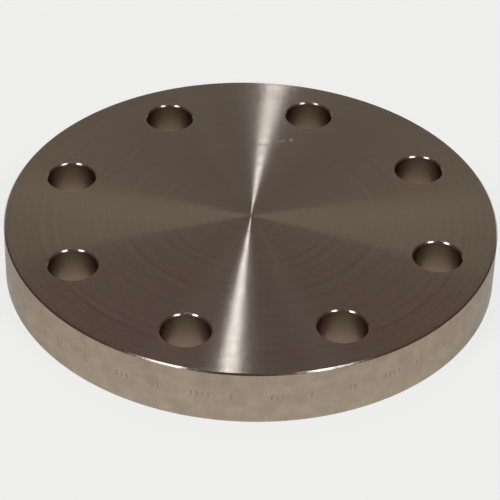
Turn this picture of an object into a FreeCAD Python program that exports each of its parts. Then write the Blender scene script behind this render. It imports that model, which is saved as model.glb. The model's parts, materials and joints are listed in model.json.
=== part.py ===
import FreeCAD, Part
import math
import os

import Sketcher
from FreeCAD import Placement, Rotation, Vector

# Blind flange, flat faced, bolted through: one forged disc, turned all over and drilled.
# Frame: millimetres, the disc's axis is Z, the origin is the centre of the lower face,
# +Z points out of the upper face. The bolt holes straddle the X and Y axes, so no hole
# lies on either axis, which is how pipe flanges are set out.

DRIVING_DIMENSIONS = [
    ("flange_diameter", 185.0),
    ("flange_thickness", 22.0),
    ("bolt_circle_diameter", 145.0),
    ("bolt_hole_diameter", 18.0),
    ("bolt_hole_count", 8),
    ("rim_chamfer", 0.6),
    ("hole_chamfer", 0.5),
]

FULL_TURN = 360.0
VOLUME_TOLERANCE = 0.001  # share of the volume that a cut should remove
LENGTH_TOLERANCE = 0.001


def write_sheet(doc):
    """Puts each driving dimension in its own row: its name, then its value under that alias."""
    sheet = doc.addObject("Spreadsheet::Sheet", "Dimensions")
    for row, (alias, value) in enumerate(DRIVING_DIMENSIONS, start=1):
        sheet.set(f"A{row}", alias)
        sheet.set(f"B{row}", str(value))
        sheet.setAlias(f"B{row}", alias)
    doc.recompute()
    return sheet


def origin_feature(body, role):
    """Returns the body's own origin plane or axis that has this role, such as XY_Plane."""
    return next(item for item in body.Origin.OriginFeatures if item.Role == role)


def sketch_on(body, role, name):
    """Starts a sketch on one of the body's own origin planes."""
    sketch = body.newObject("Sketcher::SketchObject", name)
    sketch.AttachmentSupport = (origin_feature(body, role), [""])
    sketch.MapMode = "FlatFace"
    return sketch


def bound_constraint(sketch, constraint, name, expression):
    """Adds a named sketch constraint whose value follows an expression."""
    index = sketch.addConstraint(constraint)
    sketch.renameConstraint(index, name)
    sketch.setExpression(f"Constraints.{name}", expression)


def draw_half_section(sketch, sheet):
    """Half of the disc's section, from the axis out to the rim, with both rim corners broken."""
    radius = sheet.flange_diameter / 2
    thickness = sheet.flange_thickness
    chamfer = sheet.rim_chamfer
    corners = [
        Vector(0, 0, 0),
        Vector(radius - chamfer, 0, 0),
        Vector(radius, chamfer, 0),
        Vector(radius, thickness - chamfer, 0),
        Vector(radius - chamfer, thickness, 0),
        Vector(0, thickness, 0),
    ]
    ends = corners[1:] + corners[:1]
    lower_face, lower_chamfer, rim, upper_chamfer, upper_face, axis_side = [
        sketch.addGeometry(Part.LineSegment(start, end), False) for start, end in zip(corners, ends)
    ]
    loop = [lower_face, lower_chamfer, rim, upper_chamfer, upper_face, axis_side]
    for line, following in zip(loop, loop[1:] + loop[:1]):
        sketch.addConstraint(Sketcher.Constraint("Coincident", line, 2, following, 1))
    sketch.addConstraint(Sketcher.Constraint("Coincident", lower_face, 1, -1, 1))
    for level_line in (lower_face, upper_face):
        sketch.addConstraint(Sketcher.Constraint("Horizontal", level_line))
    for upright_line in (rim, axis_side):
        sketch.addConstraint(Sketcher.Constraint("Vertical", upright_line))

    bound_constraint(
        sketch,
        Sketcher.Constraint("DistanceX", -1, 1, rim, 1, radius),
        "disc_radius",
        "Dimensions.flange_diameter / 2",
    )
    bound_constraint(
        sketch,
        Sketcher.Constraint("DistanceY", axis_side, 2, axis_side, 1, thickness),
        "disc_thickness",
        "Dimensions.flange_thickness",
    )
    for name, line in (("lower", lower_chamfer), ("upper", upper_chamfer)):
        bound_constraint(
            sketch,
            Sketcher.Constraint("DistanceY", line, 1, line, 2, chamfer),
            f"{name}_chamfer_height",
            "Dimensions.rim_chamfer",
        )
    bound_constraint(
        sketch,
        Sketcher.Constraint("DistanceX", lower_chamfer, 1, lower_chamfer, 2, chamfer),
        "lower_chamfer_width",
        "Dimensions.rim_chamfer",
    )
    bound_constraint(
        sketch,
        Sketcher.Constraint("DistanceX", upper_chamfer, 2, upper_chamfer, 1, chamfer),
        "upper_chamfer_width",
        "Dimensions.rim_chamfer",
    )


def draw_first_hole(sketch, sheet):
    """One bolt hole on the bolt circle, half a hole pitch round from the X axis."""
    reach = sheet.bolt_circle_diameter / 2
    half_pitch = math.pi / sheet.bolt_hole_count
    centre = Vector(reach * math.cos(half_pitch), reach * math.sin(half_pitch), 0)
    spoke = sketch.addGeometry(Part.LineSegment(Vector(0, 0, 0), centre), True)
    hole = sketch.addGeometry(Part.Circle(centre, Vector(0, 0, 1), sheet.bolt_hole_diameter / 2), False)
    sketch.addConstraint(Sketcher.Constraint("Coincident", spoke, 1, -1, 1))
    sketch.addConstraint(Sketcher.Constraint("Coincident", hole, 3, spoke, 2))
    bound_constraint(
        sketch,
        Sketcher.Constraint("Distance", spoke, reach),
        "bolt_circle_radius",
        "Dimensions.bolt_circle_diameter / 2",
    )
    bound_constraint(
        sketch,
        Sketcher.Constraint("Angle", -1, 1, spoke, 1, half_pitch),
        "half_pitch",
        "180 deg / Dimensions.bolt_hole_count",
    )
    bound_constraint(
        sketch,
        Sketcher.Constraint("Diameter", hole, sheet.bolt_hole_diameter),
        "hole_diameter",
        "Dimensions.bolt_hole_diameter",
    )


def hole_edges(shape, radius):
    """Names the circular edges of this radius: the two mouths of every bolt hole."""
    names = []
    for number, edge in enumerate(shape.Edges, start=1):
        round_edge = isinstance(edge.Curve, Part.Circle)
        if round_edge and abs(edge.Curve.Radius - radius) < LENGTH_TOLERANCE:
            names.append(f"Edge{number}")
    return names


def check_cut(name, before, after, expected):
    """Stops the build if a cut didn't take away the volume it should."""
    removed = before - after
    if abs(removed - expected) > VOLUME_TOLERANCE * expected:
        raise RuntimeError(f"{name} removed {removed:.1f} mm3, expected {expected:.1f} mm3")


def build_flange_disc(doc, sheet):
    """The whole flange: the turned blank, its bolt holes and their broken edges."""
    body = doc.addObject("PartDesign::Body", "flange_disc")
    body.Label = "flange_disc"

    half_section = sketch_on(body, "XZ_Plane", "half_section")
    draw_half_section(half_section, sheet)
    blank = body.newObject("PartDesign::Revolution", "turned_blank")
    blank.Profile = half_section
    blank.ReferenceAxis = (half_section, ["V_Axis"])
    blank.Angle = FULL_TURN
    doc.recompute()
    blank_volume = blank.Shape.Volume

    first_hole = sketch_on(body, "XY_Plane", "first_bolt_hole")
    first_hole.setExpression("AttachmentOffset.Base.z", "Dimensions.flange_thickness")
    draw_first_hole(first_hole, sheet)
    drilling = body.newObject("PartDesign::Pocket", "drilling")
    drilling.Profile = first_hole
    drilling.Type = "ThroughAll"
    doc.recompute()
    hole_volume = math.pi * (sheet.bolt_hole_diameter / 2) ** 2 * sheet.flange_thickness
    check_cut("drilling", blank_volume, drilling.Shape.Volume, hole_volume)

    bolt_holes = body.newObject("PartDesign::PolarPattern", "bolt_holes")
    bolt_holes.Originals = [drilling]
    bolt_holes.Axis = (origin_feature(body, "Z_Axis"), [""])
    bolt_holes.Angle = FULL_TURN
    bolt_holes.setExpression("Occurrences", "Dimensions.bolt_hole_count")
    body.Tip = bolt_holes
    doc.recompute()
    drilled_volume = bolt_holes.Shape.Volume
    check_cut("bolt_holes", blank_volume, drilled_volume, hole_volume * sheet.bolt_hole_count)

    mouths = hole_edges(bolt_holes.Shape, sheet.bolt_hole_diameter / 2)
    if len(mouths) != 2 * sheet.bolt_hole_count:
        raise RuntimeError(f"found {len(mouths)} hole mouths")
    broken_edges = body.newObject("PartDesign::Chamfer", "broken_hole_edges")
    broken_edges.Base = (bolt_holes, mouths)
    broken_edges.setExpression("Size", "Dimensions.hole_chamfer")
    body.Tip = broken_edges
    doc.recompute()
    # A chamfer takes a ring with a right-angled triangle for its section (Pappus's theorem).
    ring_radius = sheet.bolt_hole_diameter / 2 + sheet.hole_chamfer / 3
    ring_volume = 2 * math.pi * ring_radius * sheet.hole_chamfer ** 2 / 2
    check_cut("broken_hole_edges", drilled_volume, broken_edges.Shape.Volume, ring_volume * len(mouths))

    body.Placement = Placement(Vector(0, 0, 0), Rotation())
    return body


def check_document(doc, parts):
    """Stops the build if any object failed, or if a sub-part isn't one valid solid."""
    for item in doc.Objects:
        if "Invalid" in item.State or "Error" in item.State:
            raise RuntimeError(f"{item.Name} failed: {item.State}")
    for part in parts:
        shape = part.Shape
        if shape.isNull() or not shape.isValid() or len(shape.Solids) != 1:
            raise RuntimeError(f"{part.Label} isn't one valid solid")


def main():
    doc = FreeCAD.newDocument("blind_flange")
    sheet = write_sheet(doc)
    parts = [build_flange_disc(doc, sheet)]
    doc.recompute()
    check_document(doc, parts)
    os.makedirs("parts", exist_ok=True)
    for part in parts:
        part.Shape.exportStep(f"parts/{part.Label}.step")
        box = part.Shape.BoundBox
        print(f"{part.Label}: {box.XLength:.2f} x {box.YLength:.2f} x {box.ZLength:.2f} mm,"
              f" {part.Shape.Volume:.0f} mm3, z from {box.ZMin:.2f}")


main()
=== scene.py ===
import json
import math

import bmesh
import bpy
from mathutils import Matrix, Quaternion, Vector


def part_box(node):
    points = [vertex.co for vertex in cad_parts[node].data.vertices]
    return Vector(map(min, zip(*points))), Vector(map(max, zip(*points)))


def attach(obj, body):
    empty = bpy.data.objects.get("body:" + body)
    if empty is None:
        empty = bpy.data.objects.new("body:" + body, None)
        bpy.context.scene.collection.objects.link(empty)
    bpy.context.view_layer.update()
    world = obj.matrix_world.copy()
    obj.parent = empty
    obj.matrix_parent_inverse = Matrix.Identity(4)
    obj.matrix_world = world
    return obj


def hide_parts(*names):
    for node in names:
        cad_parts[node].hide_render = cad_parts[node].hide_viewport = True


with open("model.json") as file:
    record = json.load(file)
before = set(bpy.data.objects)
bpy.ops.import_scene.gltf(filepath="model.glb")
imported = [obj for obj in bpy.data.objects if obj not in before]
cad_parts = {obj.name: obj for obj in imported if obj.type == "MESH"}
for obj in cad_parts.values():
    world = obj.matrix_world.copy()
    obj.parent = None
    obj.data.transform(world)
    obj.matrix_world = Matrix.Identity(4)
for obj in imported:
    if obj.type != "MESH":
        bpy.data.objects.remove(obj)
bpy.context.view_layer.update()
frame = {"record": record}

# The blind flange's shown model and its studio. Metres, in the row frame: the disc's axis is Z, the
# lower face lies at height 0 and the upper, turned face looks up.

MILLIMETRE = 0.001

# ---------------------------------------------------------------- sizes taken from the frame

DISC_LOW, DISC_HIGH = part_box("flange_disc")
DISC_RADIUS = (DISC_HIGH.x - DISC_LOW.x) / 2
DISC_THICKNESS = DISC_HIGH.z - DISC_LOW.z
UPPER_FACE = DISC_HIGH.z
LOWER_FACE = DISC_LOW.z

BOLT_CIRCLE = next(m for m in frame["record"]["mounts"] if m["name"] == "bolt_circle")
HOLE_COUNT = BOLT_CIRCLE["dims"]["count"]
HOLE_RADIUS = BOLT_CIRCLE["dims"]["hole_r_mm"] * MILLIMETRE
HOLE_REACH = BOLT_CIRCLE["dims"]["pcd_mm"] / 2 * MILLIMETRE
HOLE_PITCH = 2 * math.pi / HOLE_COUNT
HOLE_ANGLE = HOLE_PITCH / 2  # the first hole stands half a pitch round, so the holes straddle X and Y

RIM_CHAMFER = 0.6 * MILLIMETRE
HOLE_CHAMFER = 0.5 * MILLIMETRE
EDGE_ROUNDING = 0.07 * MILLIMETRE

# ---------------------------------------------------------------- the disc's mesh

SECTOR_CELLS = 36  # mesh cells round the disc between one bolt hole and the next
CENTRE_CELLS = 12  # mesh cells along the radius, from the axis to the holes
EDGE_CELLS = 4  # mesh cells along the radius, from the holes to the rim
HOLE_CELLS = 16  # a square patch of this many cells each way is opened for a hole
HOLE_PATCH = 25.0 * MILLIMETRE  # the patch's radial width
MERGE_DISTANCE = 0.001 * MILLIMETRE
SHARP_ANGLE = math.radians(30)  # edges that turn more than this are rounded
ROUNDING_STEPS = 3
LEVEL = 0.99  # a face whose normal rises or falls more than this lies flat
UPRIGHT = 0.05  # and one whose normal rises or falls less than this stands up
FACE, RIM, BORE, CHAMFER, STAMP = range(5)  # material slots

# Punched marks on the rim: short upright strokes in plain groups, like a tally.
STAMP_FOOT = 9.8 * MILLIMETRE
STAMP_TOP = 13.4 * MILLIMETRE
STAMP_START = math.radians(-142)  # where the row of marks begins, from the X axis
STAMP_GROUPS = (2, 1, 3, 2, 4, 1, 3, 1, 2, 4, 2, 1)  # strokes in each group
STAMP_GROUP_CELLS = 7  # mesh cells from the start of one group to the next
STAMP_MARGIN = 0.66 * MILLIMETRE  # from a cell's sides to its stroke
STAMP_WALL = 0.26 * MILLIMETRE  # width of a stroke's sloping wall
STAMP_DEPTH = 0.12 * MILLIMETRE


def ring_radii():
    """Radii of the mesh rings on a face: an even run across the bolt holes, wider runs beside it."""
    inner = HOLE_REACH - HOLE_PATCH / 2
    outer = HOLE_REACH + HOLE_PATCH / 2
    edge = DISC_RADIUS - RIM_CHAMFER
    centre_rings = [inner * n / CENTRE_CELLS for n in range(CENTRE_CELLS)]
    hole_rings = [inner + HOLE_PATCH * n / HOLE_CELLS for n in range(HOLE_CELLS + 1)]
    edge_rings = [outer + (edge - outer) * n / EDGE_CELLS for n in range(1, EDGE_CELLS + 1)]
    return centre_rings + hole_rings + edge_rings


def turned_sector():
    """The share of the disc that holds one bolt hole: half of its section, spun about the Z axis."""
    radii = ring_radii()
    section = [(r, LOWER_FACE) for r in radii]
    section.append((DISC_RADIUS, LOWER_FACE + RIM_CHAMFER))
    section.append((DISC_RADIUS, UPPER_FACE - RIM_CHAMFER))
    section += [(r, UPPER_FACE) for r in reversed(radii)]
    bm = bmesh.new()
    corners = [bm.verts.new((r, 0, height)) for r, height in section]
    edges = [bm.edges.new(pair) for pair in zip(corners, corners[1:])]
    bmesh.ops.spin(
        bm, geom=corners + edges, cent=(0, 0, 0), axis=(0, 0, 1), dvec=(0, 0, 0),
        angle=HOLE_PITCH, steps=SECTOR_CELLS, use_merge=False,
    )
    bmesh.ops.remove_doubles(bm, verts=bm.verts, dist=MERGE_DISTANCE)
    bmesh.ops.recalc_face_normals(bm, faces=bm.faces)
    return bm


def in_patch(face):
    """Tells whether a face of the sector lies in the square patch that the hole goes through."""
    centre = face.calc_center_median()
    turn = math.atan2(centre.y, centre.x) - HOLE_ANGLE
    half_turn = HOLE_CELLS / 2 / SECTOR_CELLS * HOLE_PITCH
    return abs(turn) < half_turn and abs(math.hypot(centre.x, centre.y) - HOLE_REACH) < HOLE_PATCH / 2


def hole_ring(bm, radius, height):
    """A ring of edges on the hole's wall, with one vertex for each vertex round the opened patch."""
    place = Matrix.Rotation(HOLE_ANGLE, 4, "Z") @ Matrix.Translation((HOLE_REACH, 0, height))
    ring = bmesh.ops.create_circle(bm, segments=4 * HOLE_CELLS, radius=radius, matrix=place)
    return list({edge for vert in ring["verts"] for edge in vert.link_edges})


def drill(bm):
    """Opens both faces of the sector and joins them down the hole's wall, with a chamfer at each mouth."""
    patch = {face for face in bm.faces if in_patch(face)}
    borders = {UPPER_FACE: [], LOWER_FACE: []}
    for face in patch:
        height = UPPER_FACE if face.calc_center_median().z > DISC_THICKNESS / 2 else LOWER_FACE
        borders[height] += [e for e in face.edges if any(other not in patch for other in e.link_faces)]
    bmesh.ops.delete(bm, geom=list(patch), context="FACES")
    mouth = HOLE_RADIUS + HOLE_CHAMFER
    rings = [
        borders[UPPER_FACE],
        hole_ring(bm, mouth, UPPER_FACE),
        hole_ring(bm, HOLE_RADIUS, UPPER_FACE - HOLE_CHAMFER),
        hole_ring(bm, HOLE_RADIUS, LOWER_FACE + HOLE_CHAMFER),
        hole_ring(bm, mouth, LOWER_FACE),
        borders[LOWER_FACE],
    ]
    for upper, lower in zip(rings, rings[1:]):
        bmesh.ops.bridge_loops(bm, edges=upper + lower)


def repeat_sector(bm):
    """Repeats the drilled sector round the axis and joins the sectors into one closed disc."""
    bmesh.ops.spin(
        bm, geom=bm.verts[:] + bm.edges[:] + bm.faces[:], cent=(0, 0, 0), axis=(0, 0, 1), dvec=(0, 0, 0),
        angle=HOLE_PITCH * (HOLE_COUNT - 1), steps=HOLE_COUNT - 1, use_duplicate=True,
    )
    bmesh.ops.remove_doubles(bm, verts=bm.verts, dist=MERGE_DISTANCE)
    bmesh.ops.recalc_face_normals(bm, faces=bm.faces)


def round_edges(bm):
    """Takes the sharpness off every machined edge, as deburring does."""
    sharp = [e for e in bm.edges if len(e.link_faces) == 2 and e.calc_face_angle() > SHARP_ANGLE]
    bmesh.ops.bevel(
        bm, geom=sharp, offset=EDGE_ROUNDING, offset_type="OFFSET", affect="EDGES",
        segments=ROUNDING_STEPS, profile=0.5, material=-1, clamp_overlap=True,
    )


def name_surfaces(bm):
    """Gives each face of the mesh the finish of the tool that cut it."""
    rim_start = HOLE_REACH + HOLE_PATCH / 2
    for face in bm.faces:
        face.smooth = True
        centre = face.calc_center_median()
        if abs(face.normal.z) > LEVEL:
            face.material_index = FACE
        elif abs(face.normal.z) > UPRIGHT:
            face.material_index = CHAMFER
        elif math.hypot(centre.x, centre.y) > rim_start:
            face.material_index = RIM
        else:
            face.material_index = BORE


def rim_faces(bm):
    """The upright wall of the rim, without its chamfers."""
    return [face for face in bm.faces if face.material_index == RIM]


def stamped_cells(bm):
    """Picks the cells of the rim's mesh that get a stroke."""
    cell_turn = HOLE_PITCH / SECTOR_CELLS
    strokes = set()
    for number, count in enumerate(STAMP_GROUPS):
        first = number * STAMP_GROUP_CELLS
        strokes.update(range(first, first + count))
    chosen = []
    for face in rim_faces(bm):
        centre = face.calc_center_median()
        cell = math.floor((math.atan2(centre.y, centre.x) - STAMP_START) / cell_turn)
        if STAMP_FOOT < centre.z < STAMP_TOP and cell in strokes:
            chosen.append(face)
    return chosen


def stamp_rim(bm):
    """Punches the marks into the rim: each is a shallow pit with sloping walls."""
    for height in (STAMP_FOOT, STAMP_TOP):
        wall = rim_faces(bm)
        edges = {edge for face in wall for edge in face.edges}
        verts = {vert for face in wall for vert in face.verts}
        bmesh.ops.bisect_plane(
            bm, geom=wall + list(edges) + list(verts), dist=MERGE_DISTANCE,
            plane_co=(0, 0, height), plane_no=(0, 0, 1),
        )
    marks = stamped_cells(bm)
    bmesh.ops.inset_individual(bm, faces=marks, thickness=STAMP_MARGIN, use_even_offset=True)
    walls = bmesh.ops.inset_individual(
        bm, faces=marks, thickness=STAMP_WALL, depth=-STAMP_DEPTH, use_even_offset=True,
    )
    for face in walls["faces"] + marks:
        face.material_index = STAMP


def make_flange(finishes):
    """The whole flange: the blank, drilled, deburred, stamped and finished."""
    bm = turned_sector()
    drill(bm)
    repeat_sector(bm)
    round_edges(bm)
    name_surfaces(bm)
    stamp_rim(bm)
    mesh = bpy.data.meshes.new("turned_flange")
    bm.to_mesh(mesh)
    bm.free()
    for finish in finishes:
        mesh.materials.append(finish)
    flange = bpy.data.objects.new("turned_flange", mesh)
    bpy.context.scene.collection.objects.link(flange)
    weighted = flange.modifiers.new("flat_faces_stay_flat", "WEIGHTED_NORMAL")
    weighted.mode = "FACE_AREA"
    return flange


# ---------------------------------------------------------------- finishes

NOISE_SPAN = (0.3, 0.7)  # a noise seldom leaves this span


class Nodes:
    """A node tree under construction: short ways to add and join its nodes."""

    def __init__(self, tree):
        self.tree = tree

    def feed(self, socket, value):
        if isinstance(value, bpy.types.NodeSocket):
            self.tree.links.new(value, socket)
        else:
            socket.default_value = value

    def math(self, operation, *values):
        node = self.tree.nodes.new("ShaderNodeMath")
        node.operation = operation
        for socket, value in zip(node.inputs, values):
            self.feed(socket, value)
        return node.outputs[0]

    def vector(self, operation, *values, scale=None):
        node = self.tree.nodes.new("ShaderNodeVectorMath")
        node.operation = operation
        for socket, value in zip(node.inputs, values):
            self.feed(socket, value)
        if scale is not None:
            self.feed(node.inputs["Scale"], scale)
        return node.outputs["Value"] if operation in ("LENGTH", "DOT_PRODUCT") else node.outputs["Vector"]

    def noise_along(self, distance, size, detail=2.0):
        """A noise that changes only with a distance, such as the radius: 0 to 1, 0.5 on average."""
        node = self.tree.nodes.new("ShaderNodeTexNoise")
        node.noise_dimensions = "1D"
        self.feed(node.inputs["W"], distance)
        self.feed(node.inputs["Scale"], 1 / size)
        self.feed(node.inputs["Detail"], detail)
        return node.outputs["Fac"]

    def noise_at(self, place, size, detail=2.0):
        """A cloudy noise in space, whose spots are about this size: 0 to 1, 0.5 on average."""
        node = self.tree.nodes.new("ShaderNodeTexNoise")
        self.feed(node.inputs["Vector"], place)
        self.feed(node.inputs["Scale"], 1 / size)
        self.feed(node.inputs["Detail"], detail)
        return node.outputs["Fac"]

    def split(self, place):
        """The X, Y and Z of a place."""
        node = self.tree.nodes.new("ShaderNodeSeparateXYZ")
        self.feed(node.inputs[0], place)
        return node.outputs

    def spread(self, noise, low, high):
        """Spreads the span that a noise mostly keeps to over a range of values."""
        return self.range(noise, *NOISE_SPAN, low, high)

    def range(self, value, low, high, new_low, new_high, smooth=False):
        """Carries a value over from one range to another, and holds it at the new range's ends."""
        node = self.tree.nodes.new("ShaderNodeMapRange")
        node.clamp = True
        if smooth:
            node.interpolation_type = "SMOOTHSTEP"
        for socket, number in zip(node.inputs, (value, low, high, new_low, new_high)):
            self.feed(socket, number)
        return node.outputs[0]

    def mix_colour(self, factor, first, second):
        """Mixes two colours. The node's colour sockets are its inputs 6 and 7 and its output 2."""
        node = self.tree.nodes.new("ShaderNodeMix")
        node.data_type = "RGBA"
        self.feed(node.inputs["Factor"], factor)
        self.feed(node.inputs[6], first)
        self.feed(node.inputs[7], second)
        return node.outputs[2]


class Finish(Nodes):
    """A surface's finish: a node tree with its shader, and the place on the piece that drives it."""

    def __init__(self, name, metallic=1.0):
        self.material = bpy.data.materials.new(name)
        self.material.use_nodes = True
        super().__init__(self.material.node_tree)
        self.shader = self.tree.nodes["Principled BSDF"]
        self.shader.inputs["Metallic"].default_value = metallic
        self.place = self.tree.nodes.new("ShaderNodeTexCoord").outputs["Object"]

    def grain_upwards(self):
        """Runs the tool marks round a wall, so that they spread light up and down it."""
        upwards = self.tree.nodes.new("ShaderNodeCombineXYZ")
        upwards.inputs["Z"].default_value = 1.0
        self.feed(self.shader.inputs["Tangent"], upwards.outputs[0])

    def dent(self, height, depth):
        """Lets a noise of height 0 to 1 shape the surface, as small dents of this depth."""
        node = self.tree.nodes.new("ShaderNodeBump")
        node.inputs["Distance"].default_value = depth
        self.feed(node.inputs["Height"], height)
        self.feed(self.shader.inputs["Normal"], node.outputs[0])


STEEL_LIGHT = (0.44, 0.383, 0.345, 1.0)
STEEL_DARK = (0.40, 0.347, 0.312, 1.0)
RIM_LIGHT = (0.430, 0.350, 0.266, 1.0)
RIM_DARK = (0.346, 0.279, 0.212, 1.0)
RIM_GLANCING_TINT = (0.67, 0.67, 0.67, 1.0)  # the share of its glancing shine that the rim keeps
# The bore's colours are darker than the rim's: partly duller drilled steel, partly painted shade inside the
# holes.
SHADED_BORE_LIGHT = (0.276, 0.208, 0.150, 1.0)
SHADED_BORE_DARK = (0.240, 0.180, 0.131, 1.0)
# The pits' colours are darker than the rim's: painted shade in the punched marks, with spots of dirt.
SHADED_STAMP_LIGHT = (0.37, 0.305, 0.24, 1.0)
SHADED_STAMP_DARK = (0.29, 0.235, 0.18, 1.0)

# Roughness of each finish, where its noise is low and where it is high.
FACE_ROUGHNESS = (0.15, 0.195)
RIM_ROUGHNESS = (0.38, 0.30)
BORE_ROUGHNESS = (0.30, 0.40)
CHAMFER_ROUGHNESS = (0.14, 0.20)
STAMP_ROUGHNESS = (0.55, 0.40)

# How far a finish's tool marks stretch its highlights: 0 not at all, 1 the most.
FACE_GRAIN = 1.0
RIM_GRAIN = 0.6
BORE_GRAIN = 0.5

# How far apart a finish's rings or spots lie.
FACE_RING_SIZE = 0.6 * MILLIMETRE
CHATTER_SIZE = 1.4 * MILLIMETRE  # rings where the facing tool chattered
STEEPNESS_SIZE = 1.1 * MILLIMETRE  # rings whose grooves are steeper
LEAN_SIZE = 2.2 * MILLIMETRE  # rings whose grooves lean
RIM_RING_SIZE = 0.8 * MILLIMETRE
RIM_PATCH_SIZE = 5.0 * MILLIMETRE
BORE_RING_SIZE = 0.5 * MILLIMETRE
RUB_SIZE = 2.5 * MILLIMETRE  # rubbed spots on the chamfers
DIRT_AND_SHADE_SIZE = 1.5 * MILLIMETRE  # spots of dirt and painted shade in the punched marks

# What each part of the rim's finish adds to its tone: 0 is RIM_DARK and 1 is RIM_LIGHT.
RIM_RING_TONE = (-0.12, 0.12)
RIM_PATCH_TONE = (0.05, 0.75)
RIM_FOOT_TONE = 0.30

RIM_DENT_SIZE = 3.0 * MILLIMETRE
RIM_DENT_DEPTH = 0.03 * MILLIMETRE
BORE_DENT_SIZE = 2.0 * MILLIMETRE
BORE_DENT_DEPTH = 0.02 * MILLIMETRE
CHAMFER_DENT_DEPTH = 0.03 * MILLIMETRE

GROOVE_PITCH = 0.28 * MILLIMETRE
GROOVE_WANDER = 1.2  # how many grooves the pitch may drift by
GROOVE_WANDER_RUN = 6  # over about how many grooves it does so
GROOVE_STEEPNESS = (0.33, 0.41)
GROOVE_LEAN = (-0.02, 0.04)
DWELL_RADII = [0.51 * DISC_RADIUS, 0.87 * DISC_RADIUS]  # where the facing tool stood still for a moment
DWELL_WIDTH = 0.35 * MILLIMETRE
DWELL_SLOPE = 0.18  # the lean in the middle of such a ring

# Two small scuffs on the upper face: where each lies, and its half length and half width.
SCUFFS = [
    ((15.2 * MILLIMETRE, 49.3 * MILLIMETRE), (2.2 * MILLIMETRE, 0.9 * MILLIMETRE)),
    ((19.2 * MILLIMETRE, 49.7 * MILLIMETRE), (0.9 * MILLIMETRE, 1.2 * MILLIMETRE)),
]
SCUFF_ROUGHNESS = 0.42
SCUFF_CORE = 0.5  # the share of a scuff's size that is rubbed fully
SCUFF_HEIGHT = 1.0 * MILLIMETRE  # above and below the upper face, which keeps them off the lower one


def grooves(finish, along, across, pitch, steepness, lean):
    """Tool marks: scallops of one pitch along a distance, whose slopes tip the surface across them.

    The steepness is a scallop's slope at its edge, and the lean is a slope that all of it shares.
    """
    wander = finish.math("MULTIPLY", finish.noise_along(along, GROOVE_WANDER_RUN * pitch), GROOVE_WANDER)
    phase = finish.math("ADD", finish.math("DIVIDE", along, pitch), wander)
    saw = finish.math("SUBTRACT", finish.math("FRACT", phase), 0.5)
    slope = finish.math("ADD", finish.math("MULTIPLY", saw, finish.math("MULTIPLY", steepness, 2.0)), lean)
    normal = finish.tree.nodes.new("ShaderNodeNewGeometry").outputs["Normal"]
    tip = finish.vector("SCALE", across, scale=slope)
    return finish.vector("NORMALIZE", finish.vector("ADD", normal, tip))


def turned_face():
    """The facing cut: fine circular grooves round the disc's axis, with a few deeper rings."""
    finish = Finish("turned_face_steel")
    flat = finish.vector("MULTIPLY", finish.place, (1.0, 1.0, 0.0))
    radius = finish.vector("LENGTH", flat)
    outwards = finish.vector("NORMALIZE", flat)
    shader = finish.shader
    rings = finish.noise_along(radius, FACE_RING_SIZE, 3.0)
    finish.feed(shader.inputs["Base Color"], finish.mix_colour(rings, STEEL_DARK, STEEL_LIGHT))
    chatter = finish.noise_along(radius, CHATTER_SIZE, 1.0)
    roughness = finish.spread(chatter, *FACE_ROUGHNESS)
    for (x, y), (half_length, half_width) in SCUFFS:
        from_middle = finish.vector("SUBTRACT", finish.place, (x, y, UPPER_FACE))
        shares = finish.vector("MULTIPLY", from_middle, (1 / half_length, 1 / half_width, 1 / SCUFF_HEIGHT))
        off_middle = finish.vector("LENGTH", shares)
        scuff = finish.range(off_middle, SCUFF_CORE, 1.0, SCUFF_ROUGHNESS, 0.0, smooth=True)
        roughness = finish.math("ADD", roughness, scuff)
    finish.feed(shader.inputs["Roughness"], roughness)
    shader.inputs["Anisotropic"].default_value = FACE_GRAIN
    finish.feed(shader.inputs["Tangent"], outwards)
    steepness = finish.spread(finish.noise_along(radius, STEEPNESS_SIZE, 2.0), *GROOVE_STEEPNESS)
    lean = finish.spread(finish.noise_along(radius, LEAN_SIZE, 1.0), *GROOVE_LEAN)
    for dwell_radius in DWELL_RADII:
        off_line = finish.math("ABSOLUTE", finish.math("SUBTRACT", radius, dwell_radius))
        dwell = finish.range(off_line, 0.0, DWELL_WIDTH, DWELL_SLOPE, 0.0)
        lean = finish.math("ADD", lean, dwell)
    finish.feed(shader.inputs["Normal"], grooves(finish, radius, outwards, GROOVE_PITCH, steepness, lean))
    return finish.material


def turned_rim():
    """The rim: grooves stacked up the height, dulled in soft patches by handling, and paler below."""
    finish = Finish("turned_rim_steel")
    shader = finish.shader
    height = finish.split(finish.place)["Z"]
    rings = finish.spread(finish.noise_along(height, RIM_RING_SIZE, 3.0), *RIM_RING_TONE)
    patches = finish.spread(finish.noise_at(finish.place, RIM_PATCH_SIZE, 3.0), *RIM_PATCH_TONE)
    foot = finish.range(height, LOWER_FACE, UPPER_FACE, RIM_FOOT_TONE, 0.0)
    tone = finish.math("ADD", finish.math("ADD", rings, patches), foot)
    finish.feed(shader.inputs["Base Color"], finish.mix_colour(tone, RIM_DARK, RIM_LIGHT))
    finish.feed(shader.inputs["Roughness"], finish.range(tone, 0.0, 1.0, *RIM_ROUGHNESS))
    shader.inputs["Anisotropic"].default_value = RIM_GRAIN
    shader.inputs["Specular Tint"].default_value = RIM_GLANCING_TINT
    finish.grain_upwards()
    finish.dent(finish.noise_at(finish.place, RIM_DENT_SIZE, 2.0), RIM_DENT_DEPTH)
    return finish.material


def drilled_bore():
    """The bolt holes' walls, cut by a drill: rougher than the turned surfaces, and darker, partly as duller
    drilled steel and partly as painted shade in the holes.
    """
    finish = Finish("drilled_bore_steel")
    shader = finish.shader
    rings = finish.noise_along(finish.split(finish.place)["Z"], BORE_RING_SIZE, 2.0)
    finish.feed(shader.inputs["Base Color"], finish.mix_colour(rings, SHADED_BORE_DARK, SHADED_BORE_LIGHT))
    finish.feed(shader.inputs["Roughness"], finish.spread(rings, *BORE_ROUGHNESS))
    shader.inputs["Anisotropic"].default_value = BORE_GRAIN
    finish.grain_upwards()
    finish.dent(finish.noise_at(finish.place, BORE_DENT_SIZE, 2.0), BORE_DENT_DEPTH)
    return finish.material


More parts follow.
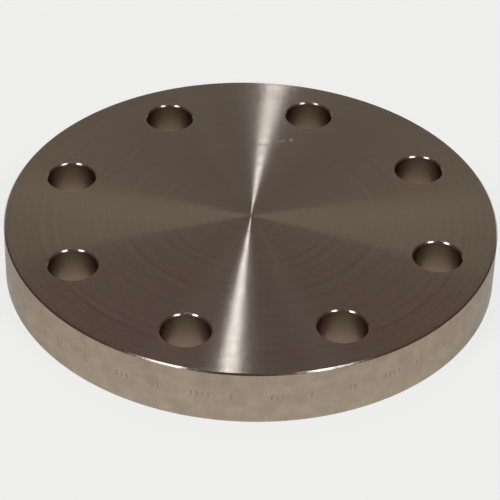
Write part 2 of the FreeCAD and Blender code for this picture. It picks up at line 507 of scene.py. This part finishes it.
def broken_edge():
    """The chamfers: a fine single cut, smoother than its neighbours, nicked and rubbed by handling."""
    finish = Finish("chamfer_steel")
    shader = finish.shader
    rubbed = finish.noise_at(finish.place, RUB_SIZE, 3.0)
    finish.feed(shader.inputs["Base Color"], finish.mix_colour(rubbed, STEEL_DARK, STEEL_LIGHT))
    finish.feed(shader.inputs["Roughness"], finish.spread(rubbed, *CHAMFER_ROUGHNESS))
    finish.dent(rubbed, CHAMFER_DENT_DEPTH)
    return finish.material


def punched_mark():
    """The pits of the rim's marks: coloured darker than the rim as painted shade in the pits, with spots of
    dirt.
    """
    finish = Finish("punched_mark_steel")
    shader = finish.shader
    dirt_and_shade = finish.noise_at(finish.place, DIRT_AND_SHADE_SIZE, 2.0)
    finish.feed(shader.inputs["Base Color"], finish.mix_colour(dirt_and_shade, SHADED_STAMP_DARK, SHADED_STAMP_LIGHT))
    finish.feed(shader.inputs["Roughness"], finish.spread(dirt_and_shade, *STAMP_ROUGHNESS))
    return finish.material


# ---------------------------------------------------------------- studio

CAMERA_AZIMUTH = math.radians(-5.025)
CAMERA_ELEVATION = math.radians(36.19)
CAMERA_DISTANCE = 9.2915 * DISC_RADIUS
CAMERA_AIM_HEIGHT = 5.885 * MILLIMETRE
CAMERA_ROLL = math.radians(1.736)
CAMERA_LENS = 164.69
CAMERA_SENSOR = 36.0


def direction(azimuth, elevation):
    """From the disc towards this place. Azimuth 0 is the -Y side, 90 is the +X side."""
    flat = math.cos(elevation)
    return Vector((math.sin(azimuth) * flat, -math.cos(azimuth) * flat, math.sin(elevation)))


def make_camera():
    data = bpy.data.cameras.new("camera")
    data.sensor_width = CAMERA_SENSOR
    data.lens = CAMERA_LENS
    data.clip_start = 0.01
    data.clip_end = 100.0
    camera = bpy.data.objects.new("camera", data)
    face_centre = Vector((0, 0, UPPER_FACE))
    camera.location = face_centre + direction(CAMERA_AZIMUTH, CAMERA_ELEVATION) * CAMERA_DISTANCE
    sight = Vector((0, 0, CAMERA_AIM_HEIGHT)) - camera.location
    camera.rotation_mode = "QUATERNION"
    camera.rotation_quaternion = sight.to_track_quat("-Z", "Y") @ Quaternion((0, 0, 1), CAMERA_ROLL)
    bpy.context.scene.collection.objects.link(camera)
    bpy.context.scene.camera = camera


def make_light(name, azimuth, elevation, distance, width, height, radiance, colour=(1, 1, 1), turn=0.0):
    """A soft box that looks at the disc. Its power is worked out from the radiance of its front."""
    data = bpy.data.lights.new(name, "AREA")
    data.shape = "RECTANGLE"
    data.size = width
    data.size_y = height
    data.energy = radiance * math.pi * width * height
    data.color = colour
    light = bpy.data.objects.new(name, data)
    towards = direction(CAMERA_AZIMUTH + math.radians(azimuth), math.radians(elevation))
    light.location = Vector((0, 0, UPPER_FACE)) + towards * distance
    light.rotation_mode = "QUATERNION"
    facing = (-towards).to_track_quat("-Z", "Y")
    light.rotation_quaternion = facing @ Quaternion((0, 0, 1), math.radians(turn))
    light.visible_camera = False
    bpy.context.scene.collection.objects.link(light)
    return light


STRIP_COLOUR = (0.925, 0.985, 1.0)
CARD_COLOUR = (0.93, 1.0, 0.77)
CARD_REACH = 0.30
CARD_WIDTH = 0.218
CARD_HEIGHT = 0.268
CARD_RADIANCE = 0.20


def stand_card(name, azimuth):
    """A softly lit card that stands upright on the floor and faces the disc."""
    card = make_light(
        name, azimuth, elevation=0.0, distance=CARD_REACH, width=CARD_WIDTH, height=CARD_HEIGHT,
        radiance=CARD_RADIANCE, colour=CARD_COLOUR,
    )
    card.location.z = LOWER_FACE + CARD_HEIGHT / 2


def make_studio():
    """A long strip overhead, two boxes in front of the disc, and two cards behind it.

    Azimuths are turned from the camera's side, in degrees. The strip is turned so that its length
    points at the disc's mirrored sight line, which keeps the streak on the turned face narrow.
    """
    make_light(
        "overhead_strip", azimuth=186.0, elevation=70.0, distance=3.0, width=0.094, height=0.80,
        radiance=15.8, colour=STRIP_COLOUR, turn=-10.5,
    )
    for side, azimuth in (("right", 42.0), ("left", -42.0)):
        make_light(
            f"front_{side}_box", azimuth, elevation=50.0, distance=1.5, width=0.35, height=0.35,
            radiance=6.5,
        )
    stand_card("back_left_card", -160.0)
    stand_card("back_right_card", 160.0)


FLOOR_COLOUR = (0.30, 0.30, 0.30, 1.0)
FLOOR_GLOW = (0.985, 1.0, 1.0, 1.0)
FLOOR_GLOW_STRENGTH = 0.76
FLOOR_ROUGHNESS = 0.9
FLOOR_SHINE = 0.1
FLOOR_GAP = 0.02 * MILLIMETRE  # keeps the floor clear of the lower face
FLOOR_RADIUS = 4.0
FLOOR_SIDES = 96


def make_floor():
    """A pale floor that glows softly, like a lit sheet of acrylic, so that it takes no hard shadow."""
    sheet = Finish("pale_floor", metallic=0.0)
    sheet.shader.inputs["Base Color"].default_value = FLOOR_COLOUR
    sheet.shader.inputs["Roughness"].default_value = FLOOR_ROUGHNESS
    sheet.shader.inputs["Specular IOR Level"].default_value = FLOOR_SHINE
    sheet.shader.inputs["Emission Color"].default_value = FLOOR_GLOW
    sheet.shader.inputs["Emission Strength"].default_value = FLOOR_GLOW_STRENGTH
    bm = bmesh.new()
    bmesh.ops.create_circle(bm, segments=FLOOR_SIDES, radius=FLOOR_RADIUS, cap_ends=True)
    mesh = bpy.data.meshes.new("floor")
    bm.to_mesh(mesh)
    bm.free()
    mesh.materials.append(sheet.material)
    floor = bpy.data.objects.new("floor", mesh)
    floor.location.z = LOWER_FACE - FLOOR_GAP
    bpy.context.scene.collection.objects.link(floor)


ROOM_COLOUR = (0.1275, 0.0826, 0.0745, 1.0)
FRONT_WALL_COLOUR = (0.30, 0.28, 0.24, 1.0)
BACKDROP_COLOUR = (0.85, 0.85, 0.85, 1.0)

# Where the front wall fades in, as parts of a direction of length 1: along Y, and down from above.
FRONT_WALL_SIDES = (-0.1, -0.5)
FRONT_WALL_TOP = (0.40, 0.15)


def make_world():
    """The room: dim all round, with a paler wall low down in front, and a pale backdrop."""
    world = bpy.data.worlds.new("studio")
    world.use_nodes = True
    room = Nodes(world.node_tree)
    towards = room.split(room.tree.nodes.new("ShaderNodeTexCoord").outputs["Generated"])
    front = room.range(towards["Y"], *FRONT_WALL_SIDES, 0.0, 1.0, smooth=True)
    low = room.range(towards["Z"], *FRONT_WALL_TOP, 0.0, 1.0, smooth=True)
    walls = room.mix_colour(room.math("MULTIPLY", front, low), ROOM_COLOUR, FRONT_WALL_COLOUR)
    seen_directly = room.tree.nodes.new("ShaderNodeLightPath").outputs["Is Camera Ray"]
    colour = room.mix_colour(seen_directly, walls, BACKDROP_COLOUR)
    room.feed(room.tree.nodes["Background"].inputs["Color"], colour)
    bpy.context.scene.world = world


flange = make_flange([turned_face(), turned_rim(), drilled_bore(), broken_edge(), punched_mark()])
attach(flange, "root")
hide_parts("flange_disc")

make_camera()
make_studio()
make_floor()
make_world()
bpy.context.scene.view_settings.view_transform = "Standard"
